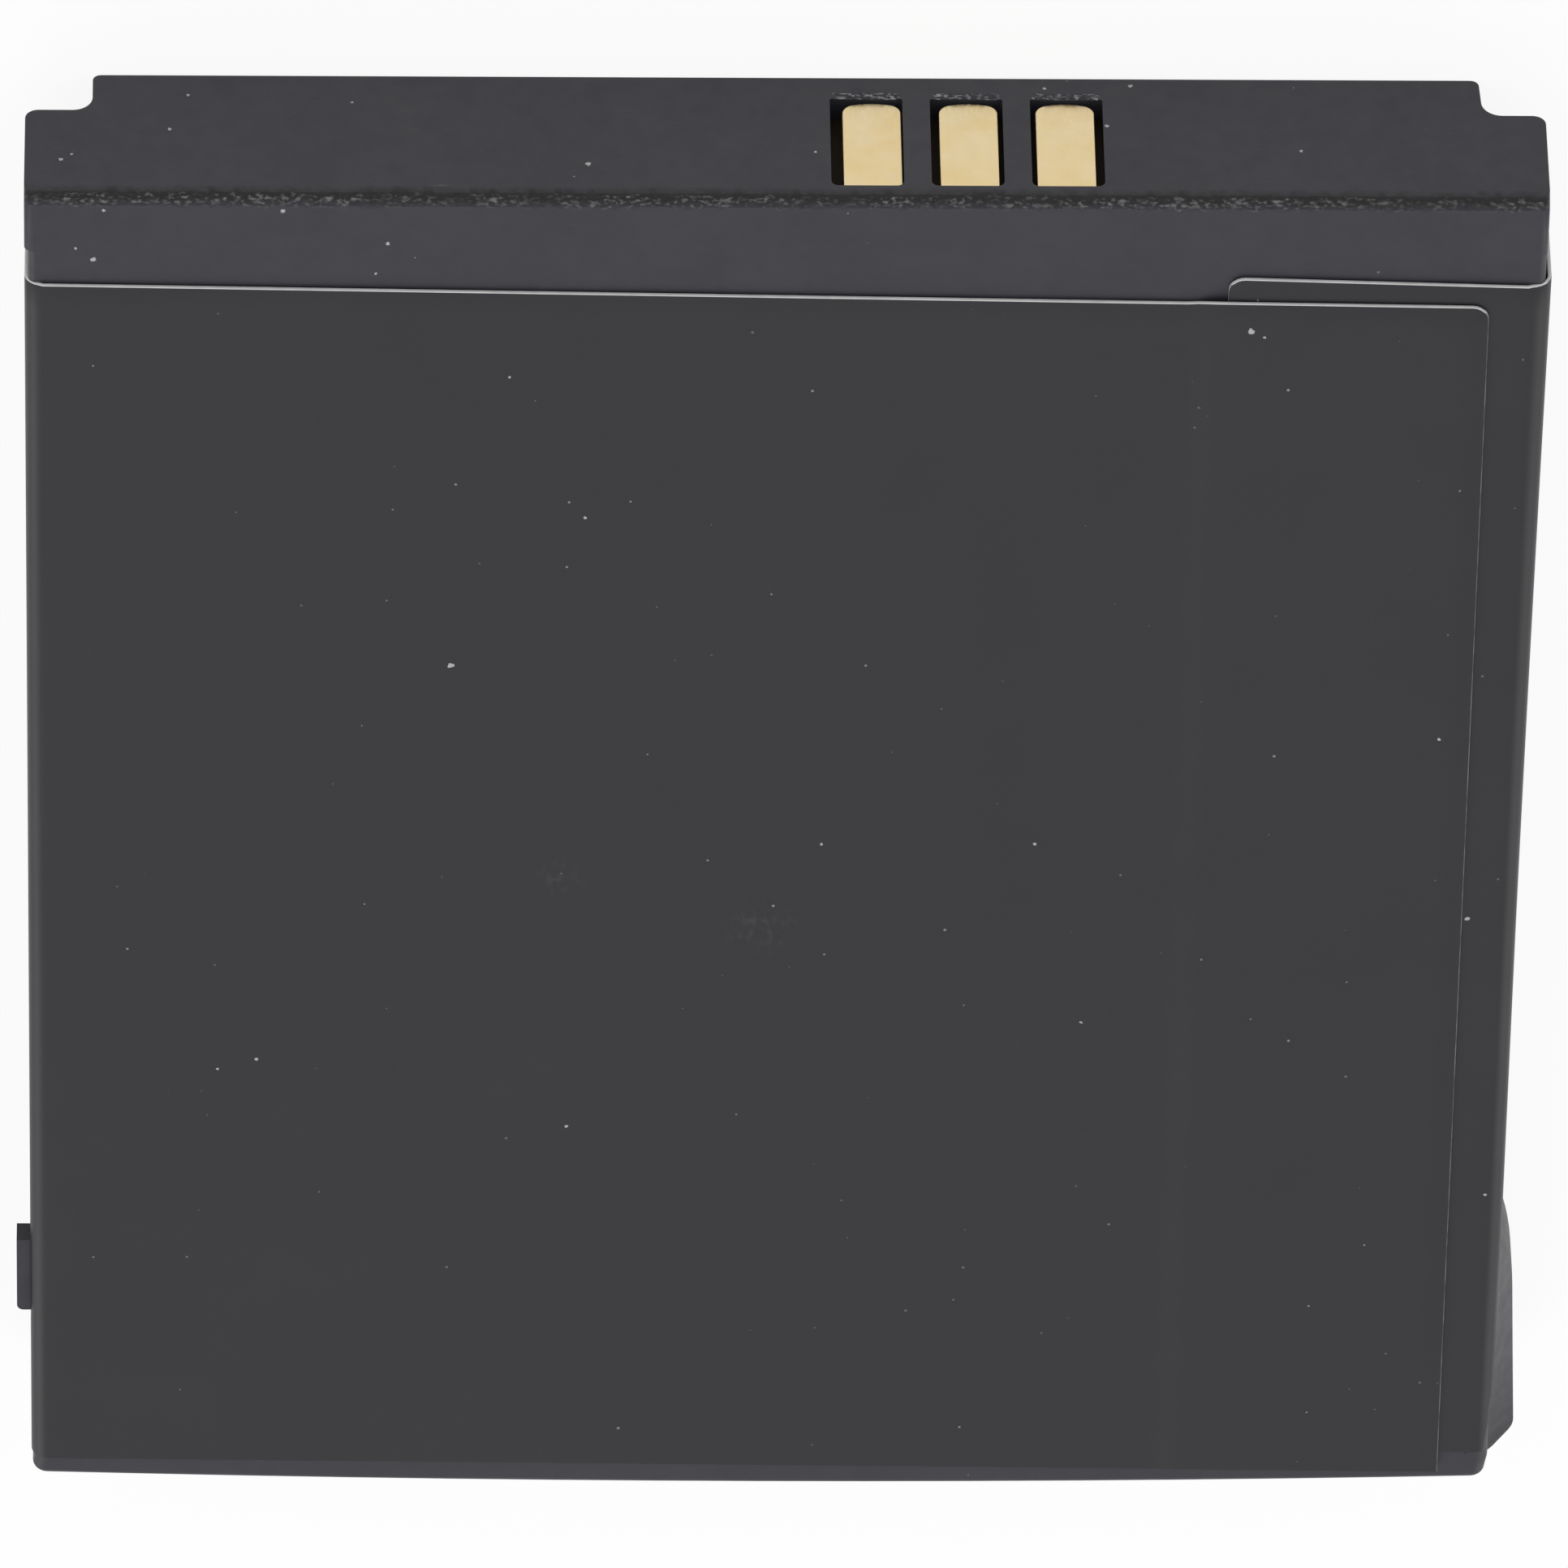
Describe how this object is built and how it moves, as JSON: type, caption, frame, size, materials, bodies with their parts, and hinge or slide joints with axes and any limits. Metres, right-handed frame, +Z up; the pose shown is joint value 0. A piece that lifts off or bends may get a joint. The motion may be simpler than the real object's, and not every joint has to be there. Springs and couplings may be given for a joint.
{
  "type": "rechargeable battery pack",
  "caption": "Slim rechargeable battery pack wrapped in a black film label, with a moulded end cap whose windows show recessed gold-plated contacts.",
  "frame": {"origin": "under the middle of the pack as it lies on its back, on the surface that it lies on", "axes": "+Z up out of the front with the label's overlap, +Y along the height to the end face with the contacts, +X to the right across the width"},
  "size_m": [0.0471, 0.052, 0.0063],
  "materials": {
    "label_film": "matt black film with a pale cut edge",
    "black_plastic": "fine-grained moulded",
    "gold_contact": "gold plated, satin",
    "cell_metal": "drawn can",
    "nickel": "nickel plated",
    "board_black": "solder mask",
    "chip_black": "moulded",
    "chip_ceramic": "ceramic",
    "gasket_plastic": "moulded",
    "insulating_paper": "pressed paper",
    "adhesive_pad": "foam tape"
  },
  "bodies": {
    "root": {"label": "label_film", "top_cap": "black_plastic", "pack_frame": "black_plastic", "bottom_pad": "adhesive_pad", "cell_can": "cell_metal", "terminal_gasket": "gasket_plastic", "cell_terminal": "nickel", "fill_plug": "cell_metal", "lid_insulator": "insulating_paper", "positive_strip": "nickel", "fuse_lead": "nickel", "thermal_fuse": "chip_black", "negative_strip": "nickel", "contact_positive": "gold_contact", "contact_sense": "gold_contact", "contact_negative": "gold_contact", "protection_board": "board_black", "protection_chip": "chip_black", "switch_chip": "chip_black", "chip_capacitors": "chip_ceramic", "chip_resistors": "chip_black", "thermistor": "chip_ceramic"}
  },
  "joints": []
}
